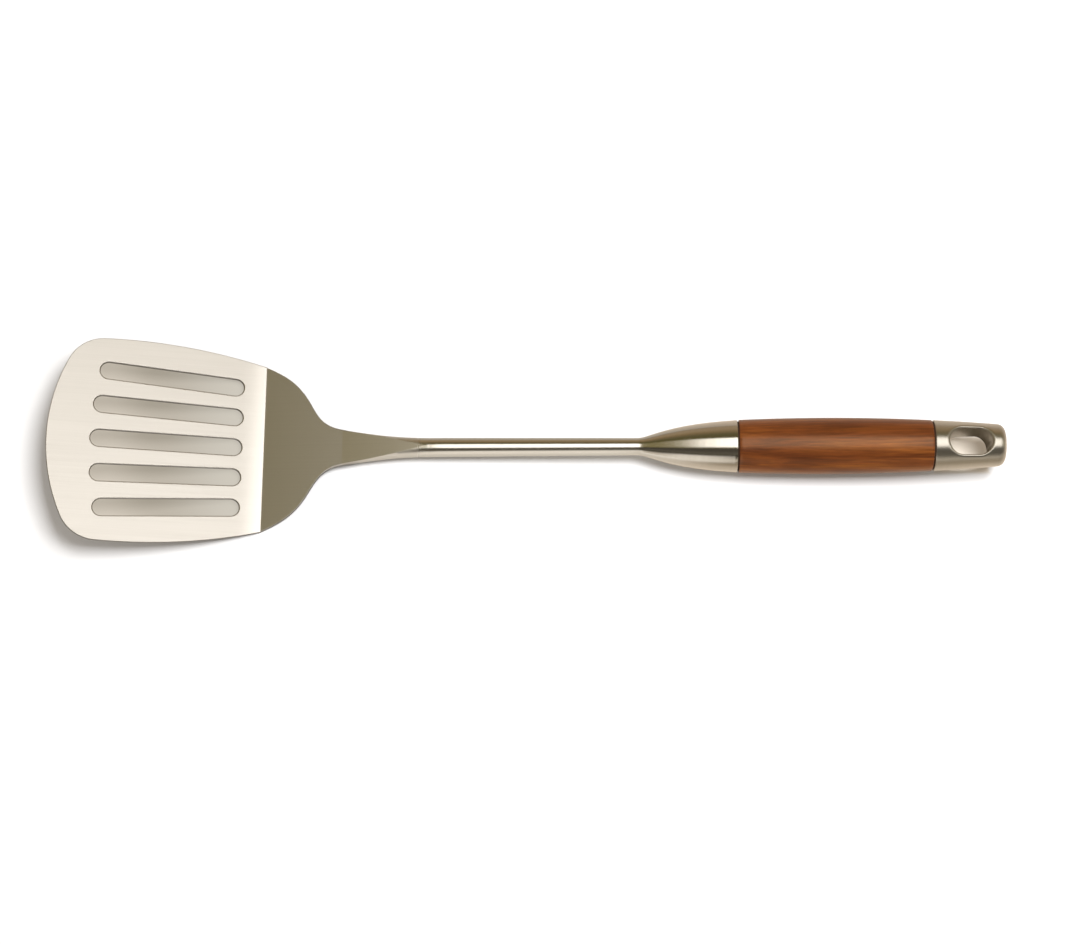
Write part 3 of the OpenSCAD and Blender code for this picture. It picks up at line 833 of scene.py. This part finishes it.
shaft.data.materials.append(steel(
    "drawn_shaft_steel", colour=(0.70, 0.655, 0.60), worn_colour=(0.64, 0.60, 0.545),
    roughness=0.35, rough_spread=0.05, bump=0.001 * MM,
    lines={"Along": 14.0, "Across": 2600.0, "Height": 60.0}, stretch=0.60,
    stretch_along=(0, 1, 0), polished=(*bright_drawn, past_tail, bar_roughness)))


# Ferrule
# A hollow flare turned from steel and welded flush to the shaft. A plug in its rear end
# holds the tang, and the wood is pulled up against it.
lip_d = 6.6 * MM
ferrule_rear_d = 19.3 * MM
ferrule_wall = 1.4 * MM
plug_l = 8 * MM
plug_d = 15.4 * MM
fit_gap = 0.05 * MM
rim_bevel = 0.25 * MM
bevel_share = 0.3
flare_corners = np.array([[0, 0], [0.1, 0], [0.29, 0.79], [1, 1]])
flare_steps = 61
turned_steps = 128
turned_angles = np.linspace(0, 2 * math.pi, turned_steps + 1)


def turned(profile, angles=turned_angles):
    """Surface of revolution about the arm: each point of the profile, a place along the arm
    and a radius, gives a circle."""
    along, radius = np.array(profile)[:, :1], np.array(profile)[:, 1:]
    return on_arm(along, radius * np.sin(angles), radius * np.cos(angles))


def bevel(at, radius, inwards):
    """Two points of the small bevel at an end face, the first on the face. Inwards is 1 where
    the piece lies behind the face and -1 where it lies in front of it."""
    return [[at, radius - rim_bevel],
            [at + inwards * bevel_share * rim_bevel, radius - bevel_share * rim_bevel]]


flare = cubic(*flare_corners, flare_steps)
flare_along = shaft_l + ferrule_l * flare[:, 0]
flare_r = lip_d / 2 + (ferrule_rear_d - lip_d) / 2 * flare[:, 1]
outside = np.stack([flare_along, flare_r], -1)[:-1]
rear_at = shaft_l + ferrule_l
seat_at = rear_at - plug_l
rear_r = ferrule_rear_d / 2
seat_r = plug_d / 2 + fit_gap
inner = np.stack([flare_along, np.minimum(flare_r - ferrule_wall, seat_r)], -1)[::-1]
inner = inner[(inner[:, 0] < seat_at) & (inner[:, 1] > spigot_r + fit_gap)]
profile = np.concatenate([
    outside, [[rear_at - rim_bevel, rear_r]], bevel(rear_at, rear_r, -1)[::-1],
    [[rear_at, seat_r], [seat_at, seat_r], [seat_at, inner[0][1]]], inner,
    [[inner[-1][0], spigot_r + fit_gap], [shaft_l, spigot_r + fit_gap], outside[0]]])
ferrule = closed_piece("turned_ferrule", [turned(profile)])
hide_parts("ferrule")
ferrule.data.materials.append(steel(
    "turned_ferrule_steel", colour=(0.67, 0.625, 0.57), worn_colour=(0.61, 0.57, 0.515),
    roughness=0.21, rough_spread=0.03, bump=0.0003 * MM,
    lines={"Along": 900.0, "Across": 40.0, "Height": 40.0}, stretch=0.78,
    stretch_along=(1, 0, 0)))


# Hidden steel
# The plug welded into the ferrule and the threaded tang through the wood, both plain
# turned steel. They keep the frame's own shape.
def finish_nodes(names, material):
    """Gives the frame's own nodes a new material in place of the one they came with."""
    for name in names:
        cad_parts[name].data.materials.clear()
        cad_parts[name].data.materials.append(material)


finish_nodes(("ferrule_plug", "tang"), steel(
    "plain_turned_steel", colour=(0.52, 0.50, 0.47), worn_colour=(0.42, 0.40, 0.38),
    roughness=0.38, rough_spread=0.08, bump=0.002 * MM,
    lines={"Along": 1200.0, "Across": 80.0, "Height": 80.0}, stretch=0.3,
    stretch_along=(1, 0, 0)))


# Spacers
# A thin washer of dark fibre at each end of the wood, set a little back from the surface.
fibre_dark = (0.035, 0.018, 0.010)
fibre_light = (0.10, 0.055, 0.032)
material, tree, output = new_material("dark_fibre")
noise = new_node(tree, "ShaderNodeTexNoise", {"Vector": object_place(tree)[0], "Scale": 900.0,
                                              "Detail": 4.0})
shader = new_node(tree, "ShaderNodeBsdfPrincipled", {
    "Base Color": colour_ramp(tree, noise.outputs[0], ((0, fibre_dark), (1, fibre_light))),
    "Roughness": 0.7, "Specular IOR Level": 0.2})
tree.links.new(shader.outputs[0], output.inputs["Surface"])
finish_nodes(("front_spacer", "rear_spacer"), material)


# Grip
# A barrel of red-brown hardwood, turned to one long curve that runs on into the cap, and
# oiled. Its ends are bevelled and the tang runs through its bore.
tang_bore_r = 2.7 * MM
barrel_steps = 61
grain_turn = (0.1, 0.02, 0.05)
figure_spread = (16.0, 210.0, 210.0)
fibre_spread = (60.0, 1500.0, 1500.0)
wood_colours = ((0, (0.10, 0.024, 0.006)), (0.36, (0.135, 0.032, 0.007)),
                (0.50, (0.215, 0.055, 0.009)), (0.64, (0.33, 0.100, 0.016)),
                (1, (0.42, 0.14, 0.026)))
fibre_range = (0.3, 0.7)
fibre_shade = (0.58, 1.30)
wood_roughness = (0.24, 0.40)


def barrel_radius(along):
    """Radius of the long curve: a circle of the barrel's radius whose top is at the belly."""
    return belly_d / 2 - barrel_r + np.sqrt(barrel_r**2 - (along - grip_at - belly_at)**2)


wood_end = grip_at + grip_l
wood_along = np.linspace(grip_at + rim_bevel, wood_end - rim_bevel, barrel_steps)
wood_profile = np.concatenate([
    [[grip_at, tang_bore_r]], bevel(grip_at, barrel_radius(grip_at), 1),
    np.stack([wood_along, barrel_radius(wood_along)], -1),
    bevel(wood_end, barrel_radius(wood_end), -1)[::-1],
    [[wood_end, tang_bore_r], [grip_at, tang_bore_r]]])
grip = closed_piece("wooden_grip", [turned(wood_profile)])
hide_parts("grip")

material, tree, output = new_material("red_brown_hardwood")
place = object_place(tree)[0]
spread = new_node(tree, "ShaderNodeMapping", {"Vector": place, "Rotation": grain_turn,
                                              "Scale": figure_spread})
figure = new_node(tree, "ShaderNodeTexNoise", {"Vector": spread.outputs[0], "Scale": 1.0,
                                               "Detail": 5.0, "Roughness": 0.62,
                                               "Distortion": 0.5})
streak = new_node(tree, "ShaderNodeMapping", {"Vector": place, "Rotation": grain_turn,
                                              "Scale": fibre_spread})
fibre = new_node(tree, "ShaderNodeTexNoise", {"Vector": streak.outputs[0], "Scale": 1.0,
                                              "Detail": 4.0, "Roughness": 0.65})
tinted = vector_maths(tree, "SCALE", colour_ramp(tree, figure.outputs[0], wood_colours),
                      change(tree, fibre.outputs[0], *fibre_range, *fibre_shade, "LINEAR"))
gloss = change(tree, fibre.outputs[0], 0, 1, *wood_roughness, "LINEAR")
lift = new_node(tree, "ShaderNodeBump", {"Height": fibre.outputs[0], "Distance": 0.02 * MM,
                                         "Strength": 1.0})
shader = new_node(tree, "ShaderNodeBsdfPrincipled", {
    "Base Color": tinted, "Roughness": gloss, "IOR": 1.5,
    "Specular IOR Level": 0.75, "Specular Tint": (1.0, 0.72, 0.50, 1),
    "Normal": lift.outputs[0]})
tree.links.new(shader.outputs[0], output.inputs["Surface"])
grip.data.materials.append(material)


# Tail cap
# A cast steel cap, screwed onto the tang, with an oblong hole for a hook. The rim of the
# hole is rounded over, above and below.
cap_round = 3 * MM
hang_l = 15.6 * MM
hang_w = 9.8 * MM
hang_gap = 5.1 * MM
hole_round = 1.1 * MM
tang_hole_r = 2.55 * MM
tang_hole_l = 4.4 * MM
patch_lead = 1.6 * MM
patch_angle = math.radians(62)
oblong_long = 12
oblong_round = 32
rim_round_steps = 6
side_steps = 25
end_round_steps = 13
front_rings = 6
rear_rings = 4
spread_shares = np.array([0, 0.3, 0.6, 0.85, 0.96, 1])[:, None, None]


def cap_surface(along, angle):
    """A point of the cap's outer curve at a place along the arm and an angle round it."""
    radius = barrel_radius(along)
    return on_arm(along, radius * np.sin(angle), radius * np.cos(angle))


hole_r = hang_w / 2
hole_front = cap_at + hang_gap + hole_r
hole_rear = hole_front + hang_l - hang_w
patch_front = cap_at + hang_gap - patch_lead
patch_rear = cap_at + hang_gap + hang_l + patch_lead
far_side = straight(np.array([hole_front, hole_r]), np.array([hole_rear, hole_r]), oblong_long)
rear_side = arc((hole_rear, 0), hole_r, math.pi / 2, -math.pi / 2, oblong_round + 1)
near_side = straight(np.array([hole_rear, -hole_r]), np.array([hole_front, -hole_r]), oblong_long)
front_side = arc((hole_front, 0), hole_r, -math.pi / 2, -3 * math.pi / 2, oblong_round + 1)
oblong = np.concatenate([far_side, rear_side[:-1], near_side, front_side])
oblong_out = np.concatenate([np.repeat([[0, 1]], oblong_long, 0),
                             (rear_side[:-1] - [hole_rear, 0]) / hole_r,
                             np.repeat([[0, -1]], oblong_long, 0),
                             (front_side - [hole_front, 0]) / hole_r])
patch_corners = [np.array([patch_front, patch_angle]), np.array([patch_rear, patch_angle]),
                 np.array([patch_rear, -patch_angle]), np.array([patch_front, -patch_angle])]
frame_edge = np.concatenate([straight(patch_corners[0], patch_corners[1], oblong_long),
                             straight(patch_corners[1], patch_corners[2], oblong_round),
                             straight(patch_corners[2], patch_corners[3], oblong_long),
                             straight(patch_corners[3], patch_corners[0], oblong_round),
                             patch_corners[:1]])
round_angle = np.linspace(0, math.pi / 2, rim_round_steps)[:, None]
rim_out = hole_round * (1 - np.sin(round_angle))
rim_drop = hole_round * (1 - np.cos(round_angle))
rim_flat = oblong[None] + oblong_out[None] * rim_out[..., None]
rim_top = np.sqrt(barrel_radius(rim_flat[..., 0])**2 - rim_flat[..., 1]**2)
start_angle = np.arcsin(rim_flat[0, :, 1] / barrel_radius(rim_flat[0, :, 0]))
start = np.stack([rim_flat[0, :, 0], start_angle], -1)
around_hole = frame_edge[None] + (start - frame_edge)[None] * spread_shares
patches = []
for turn in (0, math.pi):
    patches.append(cap_surface(around_hole[..., 0], around_hole[..., 1] + turn))
rim_up = rim_top - rim_drop
wall = np.concatenate([rim_up, -rim_up[::-1]])
wall_flat = np.concatenate([rim_flat, rim_flat[::-1]])
patches.append(on_arm(wall_flat[..., 0], wall_flat[..., 1], wall))

patch_columns = np.linspace(patch_front, patch_rear, oblong_long + 1)[:, None]
spare = math.pi / 2 - patch_angle
side_angles = np.linspace(-spare, spare, side_steps)
hole_angles = np.linspace(-patch_angle, patch_angle, oblong_round + 1)[:-1]
for turn in (math.pi / 2, 3 * math.pi / 2):
    patches.append(cap_surface(patch_columns, turn + side_angles))
ring_angles = np.concatenate([hole_angles, math.pi / 2 + side_angles[:-1],
                              math.pi + hole_angles, 3 * math.pi / 2 + side_angles])

# The cap in front of the hole and behind it, in rings at the same angles
front_along = np.linspace(cap_at + rim_bevel, patch_front, front_rings)
round_at = cap_at + cap_l - cap_round
end_r = barrel_radius(round_at)
rear_along = np.linspace(patch_rear, round_at, rear_rings)
end_angle = np.linspace(0, math.pi / 2, end_round_steps)[1:]
patches.append(turned(np.concatenate([
    [[cap_at + tang_hole_l, 0], [cap_at + tang_hole_l, tang_hole_r], [cap_at, tang_hole_r]],
    bevel(cap_at, barrel_radius(cap_at), 1),
    np.stack([front_along, barrel_radius(front_along)], -1)]), ring_angles))
patches.append(turned(np.concatenate([
    np.stack([rear_along, barrel_radius(rear_along)], -1),
    np.stack([round_at + cap_round * np.sin(end_angle),
              end_r - cap_round + cap_round * np.cos(end_angle)], -1),
    [[cap_at + cap_l, end_r - cap_round - edge_guard], [cap_at + cap_l, 0]]]), ring_angles))
cap = closed_piece("cast_tail_cap", patches)
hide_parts("tail_cap")
cap.data.materials.append(steel(
    "cast_cap_steel", colour=(0.62, 0.58, 0.525), worn_colour=(0.56, 0.525, 0.475),
    roughness=0.37, rough_spread=0.04, bump=0.0003 * MM,
    lines={"Along": 700.0, "Across": 60.0, "Height": 60.0}, stretch=0.70,
    stretch_along=(1, 0, 0)))
